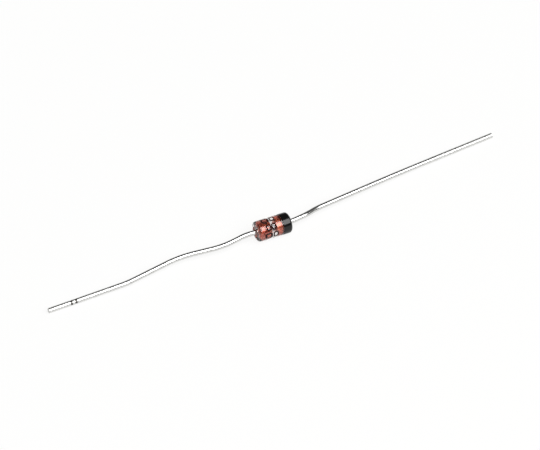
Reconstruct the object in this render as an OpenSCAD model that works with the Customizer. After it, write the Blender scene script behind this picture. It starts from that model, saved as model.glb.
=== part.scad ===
// Small-signal axial diode in a sealed glass sleeve, with two wire leads.
// The origin is the middle of the glass on its axis. +X runs along the glass to the cathode end,
// +Z is up. The glass and both lead tips rest on the plane z = -(body_d / 2 + band_seat + band_t).

/* [Glass sleeve] */
// Outer diameter of the glass
body_d = 1.98; // [1.7:0.02:2.2]
// Length of the glass over its two rounded ends
body_len = 3.42; // [3.1:0.02:4]
// Length of glass beyond the outer face of the anode slug
end_cap = 0.19; // [0.17:0.01:0.3]
// Radius of the fire-rounded outer edge at each end
end_round = 0.24; // [0.16:0.02:0.36]
// Depth of the dish that the molten glass leaves round the wire
dish_depth = 0.07; // [0.04:0.005:0.08]
// Height of the lip of glass that creeps up the wire inside the dish
wick_h = 0.03; // [0.01:0.01:0.05]
// Width of that lip
wick_w = 0.07; // [0.04:0.01:0.1]

/* [Slugs] */
// Diameter of the copper-clad slugs
slug_d = 1.22; // [1.1:0.02:1.3]
// Rounding of each slug's inner edge, beside the silicon
slug_round = 0.12; // [0.06:0.01:0.16]
// Rounding of each slug's outer shoulder, beside the weld
slug_shoulder = 0.26; // [0.06:0.02:0.26]
// How far the two slugs and the silicon sit off the middle of the glass, towards the anode
stack_shift = 0.07; // [0:0.01:0.14]

/* [Silicon] */
// Width of the square silicon die
die_w = 0.5; // [0.3:0.02:0.7]
// Thickness of the die
die_t = 0.2; // [0.12:0.02:0.24]
// Diameter of the silver contact on the die
bump_d = 0.36; // [0.2:0.02:0.4]
// Height of that contact
bump_h = 0.24; // [0.1:0.02:0.26]
// Rounding of the contact's crown
bump_round = 0.1; // [0.02:0.01:0.1]

/* [Leads] */
// Diameter of the lead wire
lead_d = 0.5; // [0.4:0.02:0.56]
// Length of the anode lead beyond the glass, along the wire
anode_len = 21.9; // [20:0.1:32]
// Length of the cathode lead beyond the glass, along the wire
cathode_len = 24; // [22:0.1:32]
// Length of the straight, round solder end of each lead
solder_len = 6; // [3:0.5:6]
// Chamfer that the cutter leaves on each lead tip
tip_chamfer = 0.05; // [0.02:0.01:0.08]
// Diameter of the butt weld where the wire meets the slug
weld_d = 0.66; // [0.58:0.02:0.7]
// Height of the weld's fillet
weld_h = 0.09; // [0.04:0.01:0.1]
// Where the lead begins to droop, counted from the glass
droop_from = 0.5; // [0.4:0.1:1]
// Length of wire over which the droop sets in
droop_run = 1; // [0.6:0.1:1.5]

/* [Cathode band] */
// Width of the painted band, counted from the cathode end of the glass
band_w = 0.92; // [0.6:0.02:1.1]
// Thickness of the paint
band_t = 0.015; // [0.01:0.001:0.03]

/* [Fits] */
// Clearance between the glass and what it is sealed to
seal_gap = 0.005; // [0.004:0.001:0.01]
// Clearance between the glass and the paint on it
band_seat = 0.002; // [0.001:0.001:0.004]

/* [Hidden] */

body_r = body_d / 2;
slug_r = slug_d / 2;
lead_r = lead_d / 2;
shoulder = min(slug_shoulder, slug_r - weld_d / 2 - 2 * seal_gap);
chamber = die_t + bump_h;            // room between the two slugs
glass_end = body_len / 2;            // end of the glass, from the middle
anode_face = chamber / 2 + stack_shift;          // inner face of each slug, from the middle
cathode_face = chamber / 2 - stack_shift;
slug_len = glass_end - end_cap - anode_face;     // length of each slug
dish_r = body_r - end_round;         // rim of the dish
neck_r = lead_r + seal_gap;          // hole that the glass leaves for the wire
arc_steps = 8;                       // steps on a rounded edge
$fn = 64;

// Height from the lead's axis down to where its tip rests beside the glass
tip_drop = body_r + band_seat + band_t - lead_r;

// Bends of each lead in the plane it lies in, counted from the glass outwards, in wire diameters
// and degrees: [straight run before the bend, angle to the left, bend radius]
anode_bends = [[1.5, 10.8, 8.9], [1.8, -18.2, 14.3], [3.25, 17.6, 19.4], [7.7, -9.35, 14.6]];
cathode_bends = [[0.2, 11.2, 8.2], [1.25, 7.35, 14], [0.75, -8.7, 15.8], [12, -1.25, 540]];

sweep_sides = 20;                    // sides of the wire along its bent stretch
sweep_step = 0.8 * lead_d;           // longest step between rings there
join = 0.6 * lead_d;                 // how far the bent and the round stretches share their place
sweep_proud = 0.006 * lead_d;        // how far the flats of the bent stretch stand off the true wire
stub_end = glass_end + join + 0.1 * lead_d;      // end of the round stretch through the glass

// ---- curves ----

// Points of an arc of radius r about [cx, cy] from angle a0 to a1
function arc(cx, cy, r, a0, a1, steps = arc_steps) =
    [for (i = [0:steps]) let (a = a0 + (a1 - a0) * i / steps) [cx + r * cos(a), cy + r * sin(a)]];

function reversed(list) = [for (i = [len(list) - 1:-1:0]) list[i]];

// The same outline at the other end of the part
function mirrored(list) = [for (p = list) [p[0], -p[1]]];

// Rounded outer edge of the glass as [radius, height], moved outwards by off
function edge_outline(off = 0) = arc(dish_r, glass_end - end_round, end_round + off, 0, 90);

// Dished end face from its rim in to the wire, with the lip that creeps up the wire
function dish_height(r) =
    glass_end - dish_depth * (1 - cos(180 * (dish_r - r) / (dish_r - neck_r))) / 2
    + wick_h * pow(max(0, 1 - (r - neck_r) / wick_w), 2);
function dish_outline() =
    [for (i = [1:12]) let (r = dish_r + (neck_r - dish_r) * i / 12) [r, dish_height(r)]];

// Concave fillet of the butt weld on the outer face of a slug, moved outwards by off
function weld_outline(slug_out, off = 0) =
    [for (i = [0:6]) let (t = i / 6)
        [lead_r + off + (weld_d / 2 - lead_r) * pow(1 - t, 2), slug_out + off + weld_h * t]];

// Rounded outer shoulder of a slug, moved outwards by off
function shoulder_outline(slug_out, off = 0) =
    arc(slug_r - shoulder, slug_out - shoulder, shoulder + off, 0, 90);

// One half of the glass round a slug whose inner face is at that distance from the middle
function glass_half(face) = let (slug_out = face + slug_len)
    concat(edge_outline(), dish_outline(), reversed(weld_outline(slug_out, seal_gap)),
           reversed(shoulder_outline(slug_out, seal_gap)));

// ---- route of a lead ----

function bend_run(b) = abs(b[1]) * PI / 180 * b[2] * lead_d;
// Where bend i of a table begins, counted from the glass
function bend_start(bends, i) =
    bends[i][0] * lead_d + (i == 0 ? 0 : bend_start(bends, i - 1) + bend_run(bends[i - 1]));
function share(s, from, run) = min(1, max(0, (s - from) / run));

// Heading of the wire in its plane at distance s from the glass
function heading(bends, s, i = 0) =
    i == len(bends) ? 0
    : bends[i][1] * share(s, bend_start(bends, i), bend_run(bends[i])) + heading(bends, s, i + 1);

// Steady droop that brings the tip down to the plane on which the glass rests
function droop(length) = asin(tip_drop / (length - droop_from - droop_run / 2));
function dip(length, s) = droop(length) * share(s, droop_from, droop_run);

function forward(yaw, down) = [cos(yaw) * cos(down), sin(yaw) * cos(down), -sin(down)];
function sideways(yaw) = [-sin(yaw), cos(yaw), 0];
function upward(yaw, down) = [cos(yaw) * sin(down), sin(yaw) * sin(down), cos(down)];

// Points on the wire's axis, one step after another
function route(bends, length, step, count, i = 0, at = [glass_end, 0, 0]) =
    i == count ? [at]
    : let (s = (i + 0.5) * step)
      concat([at], route(bends, length, step, count, i + 1,
                         at + step * forward(heading(bends, s), dip(length, s))));

// ---- pieces ----

module turned(outline) rotate([0, 90, 0]) rotate_extrude() polygon(outline);

module glass_sleeve() {
    color([0.86, 0.9, 0.9, 0.35])
        turned(concat(glass_half(cathode_face), mirrored(reversed(glass_half(anode_face)))));
}

// One slug, its inner face at that distance from the middle
module slug(face) {
    slug_out = face + slug_len;
    color([0.72, 0.25, 0.17]) turned(concat(
        [[0, face]], arc(slug_r - slug_round, face + slug_round, slug_round, 270, 360),
        shoulder_outline(slug_out), [[0, slug_out]]));
}

module anode_slug() rotate([0, 0, 180]) slug(anode_face);

module cathode_slug() slug(cathode_face);

module silicon_die() {
    color([0.25, 0.27, 0.3])
        translate([cathode_face - die_t, -die_w / 2, -die_w / 2]) cube([die_t, die_w, die_w]);
}

module contact_bump() {
    crown = arc(bump_d / 2 - bump_round, bump_h - bump_round, bump_round, 0, 90, 6);
    color([0.8, 0.8, 0.78]) translate([cathode_face - die_t, 0, 0]) rotate([0, 0, 180])
        turned(concat([[0, 0], [bump_d / 2, 0]], crown, [[0, bump_h]]));
}

// The bent stretch of a lead as rings swept along the points of its route
module bent_wire(bends, length, points) {
    count = len(points) - 1;
    step = (length - solder_len + join) / count;
    ring_r = (lead_r + sweep_proud) / cos(180 / sweep_sides);
    rings = [for (i = [0:count], k = [0:sweep_sides - 1])
        let (a = 360 * k / sweep_sides, yaw = heading(bends, i * step), down = dip(length, i * step))
        points[i] + ring_r * (cos(a) * sideways(yaw) + sin(a) * upward(yaw, down))];
    walls = [for (i = [0:count - 1], k = [0:sweep_sides - 1])
        let (m = (k + 1) % sweep_sides, a = i * sweep_sides, b = a + sweep_sides)
        [a + k, b + k, b + m, a + m]];
    first = [for (k = [0:sweep_sides - 1]) k];
    last = [for (k = [sweep_sides - 1:-1:0]) count * sweep_sides + k];
    polyhedron(rings, concat([first, last], walls));
}

// A whole lead towards +X: weld and stub through the glass, bent stretch, round solder end
module lead(bends, length, face) {
    slug_out = face + slug_len;
    bent_len = length - solder_len + join;
    count = ceil(bent_len / sweep_step);
    points = route(bends, length, bent_len / count, count);
    yaw = heading(bends, length);
    foot = points[count] - join * forward(yaw, droop(length));
    color([0.78, 0.78, 0.76]) union() {
        turned(concat([[0, slug_out]], weld_outline(slug_out), [[lead_r, stub_end], [0, stub_end]]));
        bent_wire(bends, length, points);
        translate(foot) rotate([0, 90 + droop(length), yaw])
            rotate_extrude() polygon([[0, 0], [lead_r, 0], [lead_r, solder_len - tip_chamfer],
                                      [lead_r - tip_chamfer, solder_len], [0, solder_len]]);
    }
}

module anode_lead() rotate([0, 0, 180]) lead(anode_bends, anode_len, anode_face);

module cathode_lead() lead(cathode_bends, cathode_len, cathode_face);

module cathode_band() {
    near = glass_end - band_w;
    outer = concat([[body_r + band_seat + band_t, near]], edge_outline(band_seat + band_t));
    inner = concat(reversed(edge_outline(band_seat)), [[body_r + band_seat, near]]);
    color([0.08, 0.08, 0.08]) turned(concat(outer, inner));
}

glass_sleeve();
anode_slug();
cathode_slug();
silicon_die();
contact_bump();
anode_lead();
cathode_lead();
cathode_band();
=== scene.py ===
"""Looks of a small axial diode in a clear glass sleeve, built round its packed solids.

Laid out as an add-on and run as a script: each operator makes one piece, or one group of like
pieces, from the sizes in the sidebar. Lengths are metres in the frame of the part, whose origin
is the middle of the glass and whose +X runs along the glass to the banded cathode end.
"""

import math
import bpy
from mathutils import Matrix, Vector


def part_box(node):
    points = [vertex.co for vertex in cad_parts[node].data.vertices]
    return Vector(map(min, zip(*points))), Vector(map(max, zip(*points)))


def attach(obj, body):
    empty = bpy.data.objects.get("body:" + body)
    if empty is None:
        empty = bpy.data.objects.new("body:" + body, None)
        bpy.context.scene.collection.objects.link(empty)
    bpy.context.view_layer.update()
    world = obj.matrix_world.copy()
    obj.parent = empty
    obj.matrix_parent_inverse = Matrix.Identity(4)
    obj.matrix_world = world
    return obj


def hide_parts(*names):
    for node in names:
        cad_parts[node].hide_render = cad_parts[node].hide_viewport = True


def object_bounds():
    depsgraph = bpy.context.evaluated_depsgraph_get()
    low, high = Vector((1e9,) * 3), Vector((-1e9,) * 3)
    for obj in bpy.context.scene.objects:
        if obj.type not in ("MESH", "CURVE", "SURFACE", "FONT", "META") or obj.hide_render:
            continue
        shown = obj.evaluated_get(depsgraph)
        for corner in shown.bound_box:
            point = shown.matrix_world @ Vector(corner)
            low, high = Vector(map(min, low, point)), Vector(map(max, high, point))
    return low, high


bl_info = {
    "name": "Axial Glass Diode",
    "version": (1, 0, 0),
    "blender": (4, 5, 0),
    "location": "3D View > Sidebar > Diode",
    "description": "Builds a glass diode with its slugs, band, print and leads on a pale table",
    "category": "Add Mesh",
}

import bmesh
import bpy
from bpy.props import FloatProperty, FloatVectorProperty, IntProperty, PointerProperty
from mathutils import Vector

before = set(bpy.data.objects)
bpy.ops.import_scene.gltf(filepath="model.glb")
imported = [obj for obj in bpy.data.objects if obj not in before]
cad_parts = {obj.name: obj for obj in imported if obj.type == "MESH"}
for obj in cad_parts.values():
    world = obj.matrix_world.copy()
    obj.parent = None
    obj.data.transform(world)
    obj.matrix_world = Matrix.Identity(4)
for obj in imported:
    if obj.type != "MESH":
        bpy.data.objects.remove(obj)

MM = 0.001
BODY = "root"
CAD_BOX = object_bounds()
TABLE = CAD_BOX[0][2]
GLASS_LOW, GLASS_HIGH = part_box("glass_sleeve")
ANODE_SLUG_LOW, ANODE_SLUG_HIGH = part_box("anode_slug")
CATHODE_SLUG_LOW, CATHODE_SLUG_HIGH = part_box("cathode_slug")
DIE_LOW, DIE_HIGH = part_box("silicon_die")
BUMP_LOW, BUMP_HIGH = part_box("contact_bump")
BAND_LOW, BAND_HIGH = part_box("cathode_band")

# Bends of each lead, from the glass outwards, in wire diameters and degrees:
# (straight run before the bend, angle to the left, bend radius)
ANODE_BENDS = ((1.5, 10.8, 8.9), (1.8, -18.2, 14.3), (3.25, 17.6, 19.4), (7.7, -9.35, 14.6))
CATHODE_BENDS = ((0.2, 11.2, 8.2), (1.25, 7.35, 14.0), (0.75, -8.7, 15.8), (12.0, -1.25, 540.0))

FUSED = 0.004 * MM              # the glass bites this far into the metal it is fused to
WELD_STEPS = 6
PRINT_COLUMNS = 2
CREASE = math.radians(40.0)     # faces that meet more sharply than this show an edge
GRAIN_LOW, GRAIN_HIGH = 0.3, 0.7        # most of the grain's values lie between these

# Places of a colour mix's sockets: its factor, its two ends and its result
MIX_FACTOR, MIX_FIRST, MIX_SECOND, MIX_RESULT = 0, 6, 7, 2


# ---------------------------------------------------------------- settings


class DiodeGlass(bpy.types.PropertyGroup):
    """Sizes and colour of the glass sleeve"""

    length: FloatProperty(
        name="Length", description="Length of the glass over its rounded ends",
        default=GLASS_HIGH.x - GLASS_LOW.x, unit="LENGTH", precision=6)
    radius: FloatProperty(
        name="Radius", description="Outer radius of the glass",
        default=GLASS_HIGH.z, unit="LENGTH", precision=6)
    end_round: FloatProperty(
        name="End Rounding", description="Radius of the fire-rounded outer edge",
        default=0.24 * MM, unit="LENGTH", precision=6)
    dish_depth: FloatProperty(
        name="Dish Depth", description="Depth of the dish round the wire at each end",
        default=0.07 * MM, unit="LENGTH", precision=6)
    wobble: FloatProperty(
        name="Wobble", description="Unevenness that the flame leaves in the end faces",
        default=0.030 * MM, unit="LENGTH", precision=6)
    ior: FloatProperty(
        name="Refraction", description="Refractive index of lead glass", default=1.56)
    tint: FloatVectorProperty(
        name="Tint", description="Colour that the glass gives to light passing through it",
        subtype="COLOR", size=3, default=(1.0, 0.965, 0.95), min=0.0, max=1.0)


class DiodeSlugs(bpy.types.PropertyGroup):
    """Sizes and colours of the two slugs inside the glass"""

    slug_radius: FloatProperty(
        name="Slug Radius", description="Radius of the copper-clad slugs",
        default=CATHODE_SLUG_HIGH.z, unit="LENGTH", precision=6)
    slug_round: FloatProperty(
        name="Slug Rounding", description="Rounding of each slug's inner edge",
        default=0.12 * MM, unit="LENGTH", precision=6)
    shoulder: FloatProperty(
        name="Slug Shoulder", description="Rounding of each slug's outer edge, beside the weld",
        default=0.26 * MM, unit="LENGTH", precision=6)
    anode_inner: FloatProperty(
        name="Anode Slug Inner Face",
        description="Distance of the anode slug's inner face from the middle",
        default=-ANODE_SLUG_HIGH.x, unit="LENGTH", precision=6)
    anode_outer: FloatProperty(
        name="Anode Slug Outer Face",
        description="Distance of the anode slug's outer face from the middle",
        default=-ANODE_SLUG_LOW.x, unit="LENGTH", precision=6)
    cathode_inner: FloatProperty(
        name="Cathode Slug Inner Face",
        description="Distance of the cathode slug's inner face from the middle",
        default=CATHODE_SLUG_LOW.x, unit="LENGTH", precision=6)
    cathode_outer: FloatProperty(
        name="Cathode Slug Outer Face",
        description="Distance of the cathode slug's outer face from the middle",
        default=CATHODE_SLUG_HIGH.x, unit="LENGTH", precision=6)
    # The painted shade on the slugs also darkens the copper towards this colour
    dark_oxide_and_shade: FloatVectorProperty(
        name="Dark Oxide", description="Darkest colour of the oxide on the copper",
        subtype="COLOR", size=3, default=(0.50, 0.046, 0.018), min=0.0, max=1.0)
    bright_copper: FloatVectorProperty(
        name="Bright Copper", description="Colour where the oxide is thin",
        subtype="COLOR", size=3, default=(0.80, 0.205, 0.092), min=0.0, max=1.0)


class DiodeLeads(bpy.types.PropertyGroup):
    """Sizes and colour of the wire leads"""

    wire_radius: FloatProperty(
        name="Wire Radius", description="Radius of the lead wire",
        default=0.25 * MM, unit="LENGTH", precision=6)
    anode_length: FloatProperty(
        name="Anode Length", description="Length of the anode lead beyond the glass",
        default=21.9 * MM, unit="LENGTH", precision=6)
    cathode_length: FloatProperty(
        name="Cathode Length", description="Length of the cathode lead beyond the glass",
        default=24.0 * MM, unit="LENGTH", precision=6)
    weld_radius: FloatProperty(
        name="Weld Radius", description="Radius of the butt weld on the slug",
        default=0.33 * MM, unit="LENGTH", precision=6)
    weld_height: FloatProperty(
        name="Weld Height", description="Height of the weld's fillet",
        default=0.09 * MM, unit="LENGTH", precision=6)
    tip_chamfer: FloatProperty(
        name="Tip Chamfer", description="Chamfer that the cutter leaves on the tip",
        default=0.05 * MM, unit="LENGTH", precision=6)
    sides: IntProperty(
        name="Sides", description="Sides of the swept wire", default=40, min=8)
    nicks_from_tip: FloatProperty(
        name="Nicks From Tip", description="Middle of the two tool nicks, from the anode's tip",
        default=2.55 * MM, unit="LENGTH", precision=6)
    nick_gap: FloatProperty(
        name="Nick Gap", description="Distance between the two tool nicks",
        default=0.47 * MM, unit="LENGTH", precision=6)
    tin: FloatVectorProperty(
        name="Tin", description="Colour of the tin plating",
        subtype="COLOR", size=3, default=(0.78, 0.78, 0.765), min=0.0, max=1.0)


class DiodePrint(bpy.types.PropertyGroup):
    """Sizes of the painted band and of the printed frames"""

    band_start: FloatProperty(
        name="Band Start", description="Where the painted band begins along the glass",
        default=BAND_LOW.x, unit="LENGTH", precision=6)
    band_radius: FloatProperty(
        name="Band Radius", description="Outer radius of the painted band",
        default=BAND_HIGH.z, unit="LENGTH", precision=6)
    ink_thickness: FloatProperty(
        name="Ink Thickness",
        description="Thickness of the printed ink, half of it sunk in the glass",
        default=0.010 * MM, unit="LENGTH", precision=6)
    stroke: FloatProperty(
        name="Stroke", description="Width of the printed strokes",
        default=0.135 * MM, unit="LENGTH", precision=6)
    mark_width: FloatProperty(
        name="Mark Width", description="Width of a printed frame along the glass",
        default=0.53 * MM, unit="LENGTH", precision=6)
    mark_height: FloatProperty(
        name="Mark Height", description="Height of a printed frame round the glass",
        default=0.64 * MM, unit="LENGTH", precision=6)
    stretch: FloatProperty(
        name="Stretch", description="How much wider the first frame of every other row is",
        default=1.5, min=1.0)
    spread: FloatProperty(
        name="Spread", description="How far each frame of every other row moves outwards",
        default=0.09 * MM, unit="LENGTH", precision=6)
    row_pitch: FloatProperty(
        name="Row Pitch", description="Angle between the printed rows",
        default=math.radians(49.0), subtype="ANGLE")
    first_row: FloatProperty(
        name="First Row", description="Angle of the lowest printed row, up from level in front",
        default=math.radians(-4.0), subtype="ANGLE")
    rows: IntProperty(name="Rows", description="Number of printed rows", default=3, min=1)
    first_column: FloatProperty(
        name="First Column", description="Where the first printed column is centred",
        default=-0.69 * MM, unit="LENGTH", precision=6)
    column_pitch: FloatProperty(
        name="Column Pitch", description="Distance between the printed columns",
        default=0.545 * MM, unit="LENGTH", precision=6)


class DiodeStage(bpy.types.PropertyGroup):
    """The camera and the lamp"""

    elevation: FloatProperty(
        name="Elevation", description="Height angle of the camera",
        default=math.radians(40.0), subtype="ANGLE")
    turn: FloatProperty(
        name="Turn", description="Angle of the camera to the left, off square to the glass",
        default=math.radians(25.7), subtype="ANGLE")
    distance: FloatProperty(
        name="Distance", description="Distance of the camera",
        default=0.5, unit="LENGTH", precision=6)
    view_width: FloatProperty(
        name="View Width", description="Width of the view at the part",
        default=50.7 * MM, unit="LENGTH", precision=6)
    lamp_power: FloatProperty(
        name="Lamp Power", description="Power of the soft box in watts", default=15.5)


GROUPS = (
    (DiodeGlass, "diode_glass"),
    (DiodeSlugs, "diode_slugs"),
    (DiodeLeads, "diode_leads"),
    (DiodePrint, "diode_print"),
    (DiodeStage, "diode_stage"),
)


# ---------------------------------------------------------------- node helpers


def feed(tree, socket, value):
    """Links an output to the socket, or sets the socket to a value"""
    if isinstance(value, bpy.types.NodeSocket):
        tree.links.new(value, socket)
    else:
        socket.default_value = value


def feed_named(tree, node, **values):
    """Feeds a node's inputs by name"""
    for name, value in values.items():
        feed(tree, node.inputs[name.replace("_", " ")], value)


def put(tree, kind, **values):
    """A new node of that kind, with its properties set or its inputs fed by name"""
    node = tree.nodes.new(kind)
    for name, value in values.items():
        if hasattr(node, name):
            setattr(node, name, value)
        else:
            feed_named(tree, node, **{name: value})
    return node


def calc(tree, operation, *values):
    """The output of one step of arithmetic on numbers or outputs"""
    node = put(tree, "ShaderNodeMath", operation=operation)
    for socket, value in zip(node.inputs, values):
        feed(tree, socket, value)
    return node.outputs[0]


def mix_colors(tree, factor, first, second):
    """A mix of two colours or outputs, by a factor that is an output"""
    node = put(tree, "ShaderNodeMix", data_type="RGBA")
    feed(tree, node.inputs[MIX_FACTOR], factor)
    for place, end in ((MIX_FIRST, first), (MIX_SECOND, second)):
        linked = isinstance(end, bpy.types.NodeSocket)
        feed(tree, node.inputs[place], end if linked else (*end, 1.0))
    return node.outputs[MIX_RESULT]


def map_range(tree, value, low, high, to_low, to_high):
    """The value mapped from one range to another, held at the ends; returns its output"""
    node = tree.nodes.new("ShaderNodeMapRange")
    for socket, number in zip(node.inputs, (value, low, high, to_low, to_high)):
        feed(tree, socket, number)
    return node.outputs[0]


def new_tree(name, kind, inputs, outputs):
    """A node tree with sockets of those names and types; returns it and both ends' sockets"""
    tree = bpy.data.node_groups.new(name, kind)
    for in_out, sockets in (("INPUT", inputs), ("OUTPUT", outputs)):
        for label, holds in sockets.items():
            tree.interface.new_socket(label, in_out=in_out, socket_type="NodeSocket" + holds)
    given = tree.nodes.new("NodeGroupInput").outputs
    return tree, given, tree.nodes.new("NodeGroupOutput").inputs


def mottling_group():
    """Cloudy patches with a fine grain over them, as on oxide, tin and paint"""
    name, noise = "mottling", "ShaderNodeTexNoise"
    if name in bpy.data.node_groups:
        return bpy.data.node_groups[name]
    group, given, result = new_tree(
        name, "ShaderNodeTree",
        {"Place": "Vector", "Patch Scale": "Float", "Grain Scale": "Float", "Contrast": "Float"},
        {"Patches": "Float", "Grain": "Float", "Height": "Float"})
    middle, grain_share = 0.5, 0.35
    patches = put(group, noise, Vector=given["Place"], Scale=given["Patch Scale"], Detail=3.0,
                  Roughness=0.55)
    grain = put(group, noise, Vector=given["Place"], Scale=given["Grain Scale"], Detail=2.0,
                Roughness=0.6).outputs[0]
    centred = calc(group, "SUBTRACT", patches.outputs[0], middle)
    spread = calc(group, "MULTIPLY_ADD", centred, given["Contrast"], middle)
    held = put(group, "ShaderNodeClamp", Value=spread).outputs[0]
    feed(group, result["Patches"], held)
    feed(group, result["Grain"], grain)
    feed(group, result["Height"], calc(group, "MULTIPLY_ADD", grain, grain_share, held))
    return group


def new_material(name, **values):
    """A material with one Principled shader, whose sockets by name take the values"""
    material = bpy.data.materials.new(name)
    material.use_nodes = True
    tree = material.node_tree
    shader = tree.nodes["Principled BSDF"]
    feed_named(tree, shader, **values)
    return material, tree, shader


def object_place(tree):
    """The point on the piece, in object coordinates"""
    return tree.nodes.new("ShaderNodeTexCoord").outputs["Object"]


def along_part(tree):
    """How far the point lies along the part, towards the cathode from the middle of the glass"""
    return put(tree, "ShaderNodeSeparateXYZ", Vector=object_place(tree)).outputs["X"]


def add_mottling(tree, patch_scale, grain_scale, contrast):
    """The shared mottling placed in a material; returns its outputs"""
    node = tree.nodes.new("ShaderNodeGroup")
    node.node_tree = mottling_group()
    feed_named(tree, node, Place=object_place(tree), Patch_Scale=patch_scale,
               Grain_Scale=grain_scale, Contrast=contrast)
    return node.outputs


def bump(tree, height, depth):
    """The normal of a bump of that real depth"""
    return put(tree, "ShaderNodeBump", Distance=depth, Height=height).outputs["Normal"]


# ---------------------------------------------------------------- materials


def glass_material(settings):
    """Clear lead glass with faint drawing waves and a trace of handling"""
    clean_below, handled_above, handled_rough = 0.35, 0.9, 0.035
    material, tree, shader = new_material(
        "clear_lead_glass", Base_Color=(*settings.tint, 1.0), IOR=settings.ior,
        Transmission_Weight=1.0)
    patches = add_mottling(tree, patch_scale=700.0, grain_scale=5200.0, contrast=1.2)["Patches"]
    rough = map_range(tree, patches, clean_below, handled_above, 0.0, handled_rough)
    feed_named(tree, shader, Roughness=rough,
               Normal=bump(tree, patches, depth=0.004 * MM))
    return material


def slug_material(settings):
    """Red oxide on copper in patches, darkened by painted shade towards the outer ends, and dark
    brown on the outer ends themselves
    """
    # Painted shade: the copper darkens from the first distance out to the second, down to the
    # given share of its brightness
    shade_starts, shade_full, bright_share = 0.35 * MM, 1.15 * MM, 0.42
    # From the first distance out to the second, the colour turns to this dark brown on the outer
    # ends
    brown_from, brown_full, scale = 1.36 * MM, 1.48 * MM, (0.20, 0.055, 0.030)
    smooth, dull = 0.30, 0.46
    material, tree, shader = new_material("oxidised_copper", Metallic=0.7, Coat_Weight=1.0,
                                          Coat_Roughness=0.26)
    mottling = add_mottling(tree, patch_scale=1600.0, grain_scale=14000.0, contrast=1.9)
    out = calc(tree, "ABSOLUTE", along_part(tree))
    # Painted shade, none near the die and full at the outer ends
    bright = map_range(tree, out, shade_starts, shade_full, 1.0, bright_share)
    thin = calc(tree, "MULTIPLY", bright, mottling["Patches"])
    # The oxide's patches, with the painted shade laid over them
    oxide = mix_colors(tree, thin, settings.dark_oxide_and_shade, settings.bright_copper)
    # The outer ends turn dark brown
    brown_ends = map_range(tree, out, brown_from, brown_full, 0.0, 1.0)
    feed_named(tree, shader, Base_Color=mix_colors(tree, brown_ends, oxide, scale),
               Roughness=map_range(tree, mottling["Grain"], GRAIN_LOW, GRAIN_HIGH, smooth, dull),
               Normal=bump(tree, mottling["Height"], depth=0.004 * MM))
    return material


def wire_material(settings):
    """Tinned wire with drawing lines, dull patches, oxide in the glass and painted shade in two
    nicks
    """
    sealed_to, tinned_from, sealed_oxide = 1.60 * MM, 1.66 * MM, (0.30, 0.085, 0.045)
    # The two nicks get a near-black painted shade, full in their cores and fading to their edges
    nick_core, nick_edge, nick_shade_cover, nick_shade = 0.06 * MM, 0.16 * MM, 0.95, (0.05, 0.045, 0.04)
    bright_to, worn_from, bright_rough, worn_rough = 4 * MM, 22 * MM, 0.07, 0.36
    dulling, dull_patch, bright_patch, patch_rough = 0.88, 0.2, 0.9, 0.04
    lines_along = 260.0     # metres along the wire, set against a unit circle round it
    material, tree, shader = new_material("tinned_wire", Metallic=1.0)
    patches = add_mottling(tree, patch_scale=520.0, grain_scale=6000.0, contrast=1.5)["Patches"]
    dull = tuple(dulling * channel for channel in settings.tin)
    plated = mix_colors(tree, patches, dull, settings.tin)

    along = along_part(tree)
    out = calc(tree, "ABSOLUTE", along)
    sealed = map_range(tree, out, sealed_to, tinned_from, 1.0, 0.0)
    clean = mix_colors(tree, sealed, plated, sealed_oxide)

    between = -CAD_BOX[0][0] - settings.nicks_from_tip
    apart = calc(tree, "ABSOLUTE", calc(tree, "ADD", along, between))
    away = calc(tree, "ABSOLUTE", calc(tree, "SUBTRACT", apart, settings.nick_gap / 2))
    # Painted shade in the two nicks
    nick_shaded = map_range(tree, away, nick_core, nick_edge, nick_shade_cover, 0.0)

    on_wire = put(tree, "ShaderNodeAttribute", attribute_name="wire_place").outputs["Vector"]
    stretch = put(tree, "ShaderNodeMapping", Vector=on_wire, Scale=(lines_along, 1.0, 1.0))
    lines = put(tree, "ShaderNodeTexNoise", Vector=stretch.outputs[0], Scale=7.0, Detail=3.0,
                Roughness=0.65).outputs[0]
    run = put(tree, "ShaderNodeSeparateXYZ", Vector=on_wire).outputs["X"]
    wear = map_range(tree, run, bright_to, worn_from, bright_rough, worn_rough)
    patchy = map_range(tree, patches, dull_patch, bright_patch, patch_rough, 0.0)
    feed_named(tree, shader, Base_Color=mix_colors(tree, nick_shaded, clean, nick_shade),
               Roughness=calc(tree, "ADD", wear, patchy),
               Normal=bump(tree, lines, depth=0.0035 * MM))
    return material


def mottled_material(name, colors, rough, scales, contrast, relief, depth, **values):
    """A finish that goes from the first colour to the second in patches, and rougher by grain"""
    material, tree, shader = new_material(name, **values)
    mottling = add_mottling(tree, *scales, contrast)
    feed_named(tree, shader, Base_Color=mix_colors(tree, mottling["Patches"], *colors),
               Roughness=map_range(tree, mottling["Grain"], GRAIN_LOW, GRAIN_HIGH, *rough),
               Normal=bump(tree, mottling[relief], depth))
    return material


def band_material():
    """Baked black paint with a slight orange peel"""
    return mottled_material(
        "band_paint", colors=((0.0010, 0.0012, 0.0011), (0.0032, 0.0036, 0.0034)),
        rough=(0.10, 0.20), scales=(1100.0, 8000.0), contrast=1.3, relief="Height",
        depth=0.004 * MM, IOR=1.46)


def ink_material():
    """Dry brown-black printing ink, thin in places"""
    return mottled_material(
        "print_ink", colors=((0.012, 0.002, 0.002), (0.046, 0.013, 0.010)), rough=(0.38, 0.60),
        scales=(4200.0, 16000.0), contrast=1.6, relief="Height", depth=0.003 * MM, IOR=1.22)


def metal_material(name, dark, light, rough):
    """A small metal part between two colours, with its grain in the roughness and the relief"""
    return mottled_material(
        name, colors=(dark, light), rough=rough, scales=(3000.0, 20000.0), contrast=1.2,
        relief="Grain", depth=0.001 * MM, Metallic=1.0)


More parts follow.
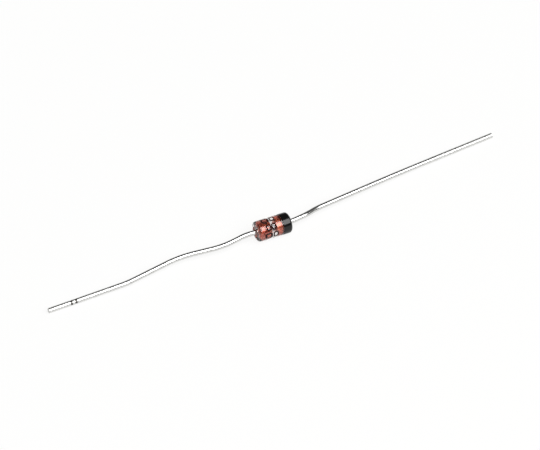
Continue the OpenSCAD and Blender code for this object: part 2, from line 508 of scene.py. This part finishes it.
def table_material():
    """White paper that keeps the shadow of the part, and is pale in glass and metal too"""
    lit, lit_light, seen = (0.40, 0.40, 0.395), (0.42, 0.42, 0.415), (0.10, 0.10, 0.099)
    glow_seen, glow_mirrored = 0.880, 0.42
    material, tree, shader = new_material(
        "white_paper", Roughness=0.9, Specular_IOR_Level=0.1,
        Emission_Color=(1.0, 1.0, 0.996, 1.0))
    patches = add_mottling(tree, patch_scale=90.0, grain_scale=900.0, contrast=0.5)["Patches"]
    paper = mix_colors(tree, patches, lit, lit_light)
    path = tree.nodes.new("ShaderNodeLightPath").outputs
    mirrored = calc(tree, "MAXIMUM", path["Is Glossy Ray"], path["Is Transmission Ray"])
    glow = calc(tree, "ADD", calc(tree, "MULTIPLY", path["Is Camera Ray"], glow_seen),
                calc(tree, "MULTIPLY", mirrored, glow_mirrored))
    feed_named(tree, shader, Emission_Strength=glow,
               Base_Color=mix_colors(tree, path["Is Camera Ray"], paper, seen))
    return material


# ---------------------------------------------------------------- mesh helpers


def add_object(name, data):
    """A new object of that name in the scene"""
    piece = bpy.data.objects.new(name, data)
    bpy.context.scene.collection.objects.link(piece)
    return piece


def mesh_from(bm, name, *materials):
    """A mesh made of the bmesh, which is freed, with those materials"""
    mesh = bpy.data.meshes.new(name)
    bm.to_mesh(mesh)
    bm.free()
    for material in materials:
        mesh.materials.append(material)
    return mesh


def arc(center_x, center_r, radius, start, end, steps):
    """Points of an arc in (x, radius), angles in degrees from the +radius direction to +x"""
    points = []
    for i in range(steps + 1):
        angle = math.radians(start + (end - start) * i / steps)
        points.append((center_x + radius * math.sin(angle), center_r + radius * math.cos(angle)))
    return points


def mirrored(points):
    """The same outline at the other end of the part, in turn"""
    return [(-x, radius) for x, radius in reversed(points)]


def weld_fillet(leads):
    """A butt weld from the slug outwards: height above the slug, radius beyond the wire's"""
    swell = leads.weld_radius - leads.wire_radius
    return [(leads.weld_height * i / WELD_STEPS, swell * (1 - i / WELD_STEPS) ** 2)
            for i in range(WELD_STEPS + 1)]


def lathe(name, outline, material, segments, closed=False, shift=None):
    """Turns an outline of (x, radius) about the X axis; shift(x, radius, angle) moves points"""
    bm = bmesh.new()
    rings = []
    for x, radius in outline:
        if radius == 0.0:
            rings.append([bm.verts.new((x, 0.0, 0.0))])
            continue
        ring = []
        for k in range(segments):
            angle = 2.0 * math.pi * k / segments
            px, pr = shift(x, radius, angle) if shift else (x, radius)
            ring.append(bm.verts.new((px, pr * math.cos(angle), pr * math.sin(angle))))
        rings.append(ring)
    pairs = list(zip(rings, rings[1:]))
    if closed:
        pairs.append((rings[-1], rings[0]))
    for one, two in pairs:
        for k in range(segments):
            m = (k + 1) % segments
            corners = [one[k % len(one)], one[m % len(one)], two[m % len(two)], two[k % len(two)]]
            bm.faces.new(list(dict.fromkeys(corners)))
    bmesh.ops.recalc_face_normals(bm, faces=bm.faces)
    mesh = mesh_from(bm, name, material)
    mesh.shade_smooth()
    mesh.set_sharp_from_angle(angle=CREASE)
    return add_object(name, mesh)


def grow(name, mesh, tree, **values):
    """A plain mesh object that a tree makes from a mesh, with the tree's inputs given by name"""
    base = add_object(name + "_base", mesh)
    modifier = base.modifiers.new("grow", "NODES")
    modifier.node_group = tree
    for item in tree.interface.items_tree:
        label = item.name.replace(" ", "_")
        if item.in_out == "INPUT" and label in values:
            modifier[item.identifier] = values[label]
    graph = bpy.context.evaluated_depsgraph_get()
    result = bpy.data.meshes.new_from_object(base.evaluated_get(graph))
    result.name = name
    base.modifiers.clear()
    bpy.data.objects.remove(base)
    bpy.data.meshes.remove(mesh)
    if not result.polygons:
        raise RuntimeError(f"{name} came out empty")
    return add_object(name, result)


def finish_piece(piece, slot, *nodes):
    """Hangs a finished piece on the part, in place of its solids; its slot is not used"""
    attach(piece, BODY)
    for node in nodes:
        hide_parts(node)


# ---------------------------------------------------------------- pieces


class DIODE_OT_glass_sleeve(bpy.types.Operator):
    """Turn the clear glass sleeve, with its rounded and dished ends and the bore for the slugs"""

    bl_idname = "diode.glass_sleeve"
    bl_label = "Glass Sleeve"

    def execute(self, context):
        glass = context.scene.diode_glass
        slugs = context.scene.diode_slugs
        leads = context.scene.diode_leads
        end = glass.length / 2
        rim = glass.radius - glass.end_round
        neck = leads.wire_radius - FUSED
        wick_width, wick_height = 0.07 * MM, 0.03 * MM
        lip = neck + 0.02 * MM      # the flame leaves the glass on the wire as it is
        dish_steps = 28
        outer = arc(end - glass.end_round, rim, glass.end_round, 0, 90, steps=20)
        for i in range(1, dish_steps + 1):
            radius = rim + (neck - rim) * i / dish_steps
            fall = (1 - math.cos(math.pi * (rim - radius) / (rim - neck))) / 2
            creep = max(0.0, 1 - (radius - neck) / wick_width) ** 2
            outer.append((end - glass.dish_depth * fall + wick_height * creep, radius))

        def half(inner_face, outer_face):
            """One half of the section, round a slug with its faces at those distances"""
            weld = [(outer_face - FUSED + height, neck + swell)
                    for height, swell in reversed(weld_fillet(leads))]
            shoulder = arc(outer_face - slugs.shoulder, slugs.slug_radius - slugs.shoulder,
                           slugs.shoulder - FUSED, 90, 0, steps=16)
            return outer + weld + shoulder + [(inner_face, slugs.slug_radius - FUSED)]

        outline = half(slugs.cathode_inner, slugs.cathode_outer)
        outline += mirrored(half(slugs.anode_inner, slugs.anode_outer))

        def flame(x, radius, angle):
            """Uneven ends, from nothing on the barrel to the full wobble on the end faces"""
            if radius < lip:
                return x, radius
            depth = max(0.0, (abs(x) - (end - glass.end_round)) / glass.end_round)
            side = 1.0 if x > 0 else -1.0
            # Two lobes and three weaker ones round each end, turned differently at the other
            wave = math.cos(2 * angle + 0.7 * side) + 0.6 * math.cos(3 * angle - 1.1 * side)
            return x - side * glass.wobble * depth * (1.6 + wave) / 2, radius

        piece = lathe("glass_sleeve_clear", outline, glass_material(glass), segments=160,
                      closed=True, shift=flame)
        finish_piece(piece, "clear_glass", "glass_sleeve")
        return {"FINISHED"}


class DIODE_OT_slugs(bpy.types.Operator):
    """Turn the two copper-clad slugs, with rounded edges and a shoulder at the outer end"""

    bl_idname = "diode.slugs"
    bl_label = "Slugs"

    def execute(self, context):
        slugs = context.scene.diode_slugs
        material = slug_material(slugs)
        radius, curve, shoulder = slugs.slug_radius, slugs.slug_round, slugs.shoulder

        def section(low, high):
            """Outline of a slug from its inner to its outer face"""
            points = [(low, 0.0), (low, (radius - curve) / 2), (low, radius - curve)]
            points += arc(low + curve, radius - curve, curve, -90, 0, steps=12)[1:]
            points += arc(high - shoulder, radius - shoulder, shoulder, 0, 90, steps=18)
            return points + [(high, (radius - shoulder) / 2), (high, 0.0)]

        for node, points in (
            ("cathode_slug", section(slugs.cathode_inner, slugs.cathode_outer)),
            ("anode_slug", mirrored(section(slugs.anode_inner, slugs.anode_outer))),
        ):
            piece = lathe(node + "_copper", points, material, segments=96)
            finish_piece(piece, "copper_slug", node)
        return {"FINISHED"}


class DIODE_OT_silicon(bpy.types.Operator):
    """Build the sawn die with its metallised faces, and the plated contact on it"""

    bl_idname = "diode.silicon"
    bl_label = "Die and Contact"

    def execute(self, context):
        sawn_edge, pad_margin, crown = 0.012 * MM, 0.03 * MM, 0.10 * MM
        square_on = 0.99        # a face whose normal has this much of X looks along the part
        grey = metal_material("silicon", dark=(0.10, 0.105, 0.13), light=(0.20, 0.21, 0.24),
                              rough=(0.12, 0.24))
        silver = metal_material("plated_silver", dark=(0.20, 0.16, 0.17),
                                light=(0.36, 0.30, 0.31), rough=(0.22, 0.38))
        bm = bmesh.new()
        bmesh.ops.create_cube(bm, size=1.0)
        bmesh.ops.scale(bm, verts=bm.verts, vec=DIE_HIGH - DIE_LOW)
        bmesh.ops.bevel(bm, geom=list(bm.edges), offset=sawn_edge, segments=2, profile=0.6,
                        affect="EDGES")
        pads = [face for face in bm.faces if abs(face.normal.x) > square_on]
        bmesh.ops.inset_individual(bm, faces=pads, thickness=pad_margin, depth=0.0)
        bmesh.ops.translate(bm, verts=bm.verts, vec=(DIE_HIGH + DIE_LOW) / 2)
        for face in pads:
            face.material_index = 1
        die = add_object("die_sawn", mesh_from(bm, "die_sawn", grey, silver))
        finish_piece(die, "silicon", "silicon_die")

        low, high, radius = BUMP_LOW.x, BUMP_HIGH.x, BUMP_HIGH.z
        outline = [(low, 0.0), (low, (radius - crown) / 2)]
        outline += arc(low + crown, radius - crown, crown, -90, 0, steps=8)
        outline += [(high, radius), (high, 0.0)]
        contact = lathe("contact_plated", outline, silver, segments=64)
        finish_piece(contact, "silver_contact", "contact_bump")
        return {"FINISHED"}


def heading(bends, distance, diameter):
    """Angle of the wire in its plane at that distance from the glass, in radians"""
    total, start = 0.0, 0.0
    for run, turn, radius in bends:
        start += run * diameter
        length = abs(math.radians(turn)) * radius * diameter
        total += math.radians(turn) * min(1.0, max(0.0, (distance - start) / length))
        start += length
    return total


def wire_route(bends, length, leads, glass):
    """Points along a lead that leaves towards +X, each with its distance from the glass"""
    diameter = 2 * leads.wire_radius
    droop_from, droop_run, spacing = 0.5 * MM, 1.0 * MM, 0.1 * MM
    drop = -TABLE - leads.wire_radius
    droop = math.asin(drop / (length - droop_from - droop_run / 2))
    count = round(length / spacing)
    step = length / count
    at = Vector((glass.length / 2, 0.0, 0.0))
    route = [(at.copy(), 0.0)]
    for i in range(count):
        middle = (i + 0.5) * step
        yaw = heading(bends, middle, diameter)
        down = droop * min(1.0, max(0.0, (middle - droop_from) / droop_run))
        at = at + step * Vector((math.cos(yaw) * math.cos(down),
                                 math.sin(yaw) * math.cos(down), -math.sin(down)))
        route.append((at.copy(), (i + 1) * step))
    return route


def wire_sweep_tree():
    """Sweeps a round wire along a path; girth scales it, and wire_place maps its surface"""
    tree, given, result = new_tree(
        "wire_sweep", "GeometryNodeTree",
        {"Geometry": "Geometry", "Wire Radius": "Float", "Sides": "Int", "Finish": "Material"},
        {"Geometry": "Geometry"})

    def hold(curve, kind, label, value):
        """Keeps a value of a curve's points through the sweep; returns the curve and the value"""
        node = put(tree, "GeometryNodeCaptureAttribute", domain="POINT", Geometry=curve)
        node.capture_items.new(kind, label)
        feed(tree, node.inputs[label], value)
        return node.outputs["Geometry"], node.outputs[label]

    path = put(tree, "GeometryNodeMeshToCurve", Mesh=given["Geometry"]).outputs["Curve"]
    girth = put(tree, "GeometryNodeInputNamedAttribute", data_type="FLOAT", Name="girth")
    length = tree.nodes.new("GeometryNodeSplineParameter").outputs["Length"]
    path, along = hold(path, "FLOAT", "Along", length)
    circle = put(tree, "GeometryNodeCurvePrimitiveCircle", Resolution=given["Sides"],
                 Radius=given["Wire Radius"]).outputs["Curve"]
    place = tree.nodes.new("GeometryNodeInputPosition").outputs["Position"]
    unit = put(tree, "ShaderNodeVectorMath", operation="NORMALIZE", Vector=place)
    circle, around = hold(circle, "VECTOR", "Around", unit.outputs["Vector"])
    sweep = put(tree, "GeometryNodeCurveToMesh", Curve=path, Profile_Curve=circle,
                Scale=girth.outputs["Attribute"], Fill_Caps=True)
    split = put(tree, "ShaderNodeSeparateXYZ", Vector=around).outputs
    surface = put(tree, "ShaderNodeCombineXYZ", X=along, Y=split["X"], Z=split["Y"])
    store = put(tree, "GeometryNodeStoreNamedAttribute", data_type="FLOAT_VECTOR",
                domain="POINT", Name="wire_place", Geometry=sweep.outputs["Mesh"],
                Value=surface.outputs[0])
    smooth = put(tree, "GeometryNodeSetShadeSmooth", Geometry=store.outputs["Geometry"])
    real = put(tree, "GeometryNodeRealizeInstances", Geometry=smooth.outputs["Geometry"])
    paint = put(tree, "GeometryNodeSetMaterial", Geometry=real.outputs["Geometry"],
                Material=given["Finish"])
    feed(tree, result["Geometry"], paint.outputs["Geometry"])
    return tree


class DIODE_OT_leads(bpy.types.Operator):
    """Sweep the two tinned leads, with their welds, bends, cut tips and tool nicks"""

    bl_idname = "diode.leads"
    bl_label = "Leads"

    def girth(self, to_tip, leads, nicks):
        """Share of the wire's radius at that distance from the tip"""
        nick_depth, nick_spread = 0.16, 0.07 * MM
        share = 1.0 - max(0.0, leads.tip_chamfer - to_tip) / leads.wire_radius
        for nick in nicks:
            share -= nick_depth * math.exp(-((to_tip - nick) / nick_spread) ** 2)
        return share

    def stations(self, route, length, slug_face, leads, nicks):
        """Points of a lead with their girths, from its foot in the slug to its tip"""
        line = [(point, self.girth(length - run, leads, nicks)) for point, run in route]
        tip, before = route[-1][0], route[-2][0]
        ahead = (tip - before).normalized()
        line.insert(-1, (tip - ahead * leads.tip_chamfer, 1.0))
        weld = [(Vector((slug_face + height, 0.0, 0.0)), 1.0 + swell / leads.wire_radius)
                for height, swell in weld_fillet(leads)]
        sunk = 0.02 * MM
        foot = Vector((slug_face - sunk, 0.0, 0.0))
        return [(foot, weld[0][1])] + weld + line

    def execute(self, context):
        scene = context.scene
        leads, glass, slugs = scene.diode_leads, scene.diode_glass, scene.diode_slugs
        tree = wire_sweep_tree()
        finish = wire_material(leads)
        nicks = [leads.nicks_from_tip + side * leads.nick_gap / 2 for side in (-1, 1)]
        for node, bends, length, slug_face, side, marks in (
            ("anode_lead", ANODE_BENDS, leads.anode_length, slugs.anode_outer, -1.0, nicks),
            ("cathode_lead", CATHODE_BENDS, leads.cathode_length, slugs.cathode_outer, 1.0, ()),
        ):
            name = node + "_tinned"
            route = wire_route(bends, length, leads, glass)
            line = self.stations(route, length, slug_face, leads, marks)
            path = bpy.data.meshes.new(name + "_path")
            path.from_pydata([(side * p.x, side * p.y, p.z) for p, _ in line],
                             [(i, i + 1) for i in range(len(line) - 1)], [])
            girths = path.attributes.new("girth", "FLOAT", "POINT")
            girths.data.foreach_set("value", [share for _, share in line])
            piece = grow(name, path, tree, Wire_Radius=leads.wire_radius, Sides=leads.sides,
                         Finish=finish)
            piece.data.set_sharp_from_angle(angle=CREASE)
            finish_piece(piece, "tinned_wire", node)
        return {"FINISHED"}


class DIODE_OT_cathode_band(bpy.types.Operator):
    """Paint the black cathode band round the banded end, over its rounded edge"""

    bl_idname = "diode.cathode_band"
    bl_label = "Cathode Band"

    def execute(self, context):
        glass = context.scene.diode_glass
        band = context.scene.diode_print
        thickness = band.band_radius - glass.radius
        center_x = glass.length / 2 - glass.end_round
        center_r = glass.radius - glass.end_round
        start = band.band_start
        lip, feather, waver = 0.01 * MM, 0.05 * MM, 0.012 * MM
        sunk = 0.0015 * MM      # the paint's inner face lies just under the glass surface
        outer = [(start, glass.radius - sunk), (start + lip, glass.radius + thickness / 3),
                 (start + feather, band.band_radius)]
        outer += arc(center_x, center_r, glass.end_round + thickness, 0, 84, steps=18)
        inner = arc(center_x, center_r, glass.end_round - sunk, 88, 0, steps=18)

        def brush(x, radius, angle):
            """The painted front edge isn't quite true"""
            if x > start + 2 * feather:
                return x, radius
            wave = math.sin(2 * angle + 0.4) + 0.5 * math.sin(5 * angle + 1.3)
            return x + waver * (1.3 + wave), radius

        piece = lathe("cathode_band_painted", outer + inner, band_material(), segments=160,
                      closed=True, shift=brush)
        finish_piece(piece, "band_paint", "cathode_band")
        return {"FINISHED"}


def print_tree():
    """Lays plain printed frames out in rows and columns and wraps them round the barrel"""
    sizes = ("Row Pitch", "First Row", "First Column", "Column Pitch", "Spread", "Stretch",
             "Mark Width", "Mark Height", "Stroke", "Ink", "Barrel Radius")
    tree, given, result = new_tree(
        "wrapped_print", "GeometryNodeTree",
        {"Rows": "Int", **dict.fromkeys(sizes, "Float"), "Finish": "Material"},
        {"Geometry": "Geometry"})
    rectangle = "GeometryNodeCurvePrimitiveQuadrilateral"
    pen = put(tree, rectangle, Width=given["Stroke"], Height=given["Ink"])
    path = put(tree, rectangle, Width=calc(tree, "SUBTRACT", given["Mark Width"], given["Stroke"]),
               Height=calc(tree, "SUBTRACT", given["Mark Height"], given["Stroke"]))
    rounded = put(tree, "GeometryNodeFilletCurve", mode="POLY", Curve=path.outputs["Curve"],
                  Radius=given["Stroke"], Count=6)
    finer = put(tree, "GeometryNodeSubdivideCurve", Curve=rounded.outputs["Curve"], Cuts=4)
    flat = put(tree, "GeometryNodeSetCurveNormal", mode="Z_UP", Curve=finer.outputs["Curve"])
    mark = put(tree, "GeometryNodeCurveToMesh", Curve=flat.outputs["Curve"],
               Profile_Curve=pen.outputs["Curve"])

    grid = put(tree, "GeometryNodeMeshLine",
               Count=calc(tree, "MULTIPLY", given["Rows"], PRINT_COLUMNS))
    number = tree.nodes.new("GeometryNodeInputIndex").outputs[0]
    row = calc(tree, "FLOOR", calc(tree, "DIVIDE", number, PRINT_COLUMNS))
    column = calc(tree, "MODULO", number, PRINT_COLUMNS)
    other_row = calc(tree, "SUBTRACT", 1.0, calc(tree, "PINGPONG", row, 1.0))
    side = calc(tree, "SUBTRACT", calc(tree, "MULTIPLY", column, 2.0), 1.0)
    apart = calc(tree, "MULTIPLY", calc(tree, "MULTIPLY", side, other_row), given["Spread"])
    across = calc(tree, "ADD", calc(tree, "ADD", given["First Column"], apart),
                  calc(tree, "MULTIPLY", column, given["Column Pitch"]))
    widened = calc(tree, "MULTIPLY", other_row, calc(tree, "SUBTRACT", 1.0, column))
    more = calc(tree, "SUBTRACT", given["Stretch"], 1.0)
    wide = calc(tree, "ADD", 1.0, calc(tree, "MULTIPLY", widened, more))
    angle = calc(tree, "ADD", given["First Row"],
                 calc(tree, "MULTIPLY", row, given["Row Pitch"]))
    up = calc(tree, "MULTIPLY", angle, given["Barrel Radius"])
    spot = put(tree, "ShaderNodeCombineXYZ", X=across, Y=up)
    lay = put(tree, "GeometryNodeSetPosition", Geometry=grid.outputs["Mesh"],
              Position=spot.outputs[0])
    size = put(tree, "ShaderNodeCombineXYZ", X=wide, Y=1.0, Z=1.0)
    stamp = put(tree, "GeometryNodeInstanceOnPoints", Points=lay.outputs["Geometry"],
                Instance=mark.outputs["Mesh"], Scale=size.outputs[0])

    real = put(tree, "GeometryNodeRealizeInstances", Geometry=stamp.outputs["Instances"])
    place = tree.nodes.new("GeometryNodeInputPosition").outputs["Position"]
    split = put(tree, "ShaderNodeSeparateXYZ", Vector=place).outputs
    turn = calc(tree, "DIVIDE", split["Y"], given["Barrel Radius"])
    reach = calc(tree, "ADD", split["Z"], given["Barrel Radius"])
    wrapped_y = calc(tree, "MULTIPLY", calc(tree, "MULTIPLY", reach, -1.0),
                     calc(tree, "COSINE", turn))
    wrapped_z = calc(tree, "MULTIPLY", reach, calc(tree, "SINE", turn))
    wrapped = put(tree, "ShaderNodeCombineXYZ", X=split["X"], Y=wrapped_y, Z=wrapped_z)
    wrap = put(tree, "GeometryNodeSetPosition", Geometry=real.outputs["Geometry"],
               Position=wrapped.outputs[0])
    paint = put(tree, "GeometryNodeSetMaterial", Geometry=wrap.outputs["Geometry"],
                Material=given["Finish"])
    feed(tree, result["Geometry"], paint.outputs["Geometry"])
    return tree


class DIODE_OT_print_marks(bpy.types.Operator):
    """Print rows of plain frames on the side of the glass"""

    bl_idname = "diode.print_marks"
    bl_label = "Printed Shapes"

    def execute(self, context):
        marks = context.scene.diode_print
        piece = grow(
            "printed_shapes", bpy.data.meshes.new("print_base"), print_tree(), Rows=marks.rows,
            Row_Pitch=marks.row_pitch, First_Row=marks.first_row,
            First_Column=marks.first_column, Column_Pitch=marks.column_pitch,
            Spread=marks.spread, Stretch=marks.stretch, Mark_Width=marks.mark_width,
            Mark_Height=marks.mark_height, Stroke=marks.stroke, Ink=marks.ink_thickness,
            Barrel_Radius=context.scene.diode_glass.radius, Finish=ink_material())
        bm = bmesh.new()
        bm.from_mesh(piece.data)
        bmesh.ops.recalc_face_normals(bm, faces=bm.faces)
        bm.to_mesh(piece.data)
        bm.free()
        finish_piece(piece, "band_paint")
        return {"FINISHED"}


# ---------------------------------------------------------------- stage


class DIODE_OT_stage(bpy.types.Operator):
    """Lay the white table, hang the soft box, set the room and the camera"""

    bl_idname = "diode.stage"
    bl_label = "Table, Light and Camera"

    def execute(self, context):
        scene = context.scene
        self.lay_table()
        self.hang_soft_box(scene.diode_stage)
        self.fill_room(scene)
        self.set_camera(scene, scene.diode_stage)
        return {"FINISHED"}

    def lay_table(self):
        """A wide round sheet of white paper under the part"""
        bm = bmesh.new()
        bmesh.ops.create_circle(bm, cap_ends=True, segments=96, radius=3.0)
        bmesh.ops.translate(bm, verts=bm.verts, vec=(0.0, 0.0, TABLE))
        table = add_object("table_paper", mesh_from(bm, "table_paper", table_material()))

    def hang_soft_box(self, stage):
        """One large soft box, high in front and a little to the right"""
        toward, distance = Vector((0.20, -0.622, 0.78)).normalized(), 1.0
        lamp = bpy.data.lights.new("soft_box", "AREA")
        lamp.shape = "RECTANGLE"
        lamp.size, lamp.size_y = 1.14, 0.85
        lamp.energy = stage.lamp_power
        box = add_object("soft_box", lamp)
        box.location = toward * distance
        box.rotation_euler = toward.to_track_quat("Z", "Y").to_euler()

    def fill_room(self, scene):
        """A room that is white behind and beside the table, and dark overhead and in front"""
        white, dark_grey = (1.0, 1.0, 1.0), (0.11, 0.11, 0.11)
        ceiling_middle, ceiling_edge = (0.0, 0.350, 0.937), (0.45, 0.55)
        front_edge, horizon_edge = (-0.45, -0.25), (0.0, 0.04)
        world = bpy.data.worlds.new("studio_room")
        world.use_nodes = True
        scene.world = world
        tree = world.node_tree
        direction = tree.nodes.new("ShaderNodeTexCoord").outputs["Generated"]
        ceiling = put(tree, "ShaderNodeVectorMath", operation="DOT_PRODUCT", Vector=direction)
        ceiling.inputs[1].default_value = ceiling_middle
        overhead = map_range(tree, ceiling.outputs["Value"], *ceiling_edge, 0.0, 1.0)
        split = put(tree, "ShaderNodeSeparateXYZ", Vector=direction).outputs
        in_front = map_range(tree, split["Y"], *front_edge, 1.0, 0.0)
        above = map_range(tree, split["Z"], *horizon_edge, 0.0, 1.0)
        dark = calc(tree, "MAXIMUM", overhead, calc(tree, "MULTIPLY", in_front, above))
        feed_named(tree, tree.nodes["Background"],
                   Color=mix_colors(tree, dark, white, dark_grey))

    def set_camera(self, scene, stage):
        """A long lens that looks down on the part from the front left"""
        away = Vector((math.sin(stage.turn), math.cos(stage.turn), 0.0))
        forward = away * math.cos(stage.elevation) - Vector((0, 0, math.sin(stage.elevation)))
        data = bpy.data.cameras.new("camera")
        data.sensor_width = 36.0
        data.lens = data.sensor_width * stage.distance / stage.view_width
        data.clip_start, data.clip_end = 0.01, 20.0
        data.shift_x, data.shift_y = -0.0041, 0.0037
        camera = add_object("camera", data)
        camera.location = -forward * stage.distance
        camera.rotation_euler = forward.to_track_quat("-Z", "Y").to_euler()
        scene.camera = camera
        scene.view_settings.view_transform = "Standard"


OPERATORS = (
    DIODE_OT_glass_sleeve,
    DIODE_OT_slugs,
    DIODE_OT_silicon,
    DIODE_OT_leads,
    DIODE_OT_cathode_band,
    DIODE_OT_print_marks,
    DIODE_OT_stage,
)


class DIODE_PT_pieces(bpy.types.Panel):
    """Lists the pieces of the diode and their sizes"""

    bl_idname = "DIODE_PT_pieces"
    bl_label = "Axial Glass Diode"
    bl_space_type = "VIEW_3D"
    bl_region_type = "UI"
    bl_category = "Diode"

    def draw(self, context):
        layout = self.layout
        for group, attribute in GROUPS:
            box = layout.box()
            box.label(text=group.__doc__)
            for name in group.__annotations__:
                box.prop(getattr(context.scene, attribute), name)
        for operator in OPERATORS:
            layout.operator(operator.bl_idname)


def register():
    """Registers the settings, the operators and the panel"""
    for group, attribute in GROUPS:
        bpy.utils.register_class(group)
        setattr(bpy.types.Scene, attribute, PointerProperty(type=group))
    for operator in OPERATORS:
        bpy.utils.register_class(operator)
    bpy.utils.register_class(DIODE_PT_pieces)


def unregister():
    """Takes the panel, the operators and the settings away again"""
    bpy.utils.unregister_class(DIODE_PT_pieces)
    for operator in reversed(OPERATORS):
        bpy.utils.unregister_class(operator)
    for group, attribute in reversed(GROUPS):
        delattr(bpy.types.Scene, attribute)
        bpy.utils.unregister_class(group)


def main():
    """Makes every piece and the stage in turn"""
    register()
    for operator in OPERATORS:
        group, name = operator.bl_idname.split(".")
        result = getattr(getattr(bpy.ops, group), name)()
        if result != {"FINISHED"}:
            raise RuntimeError(f"{operator.bl_label} did not finish")


if __name__ == "__main__":
    main()
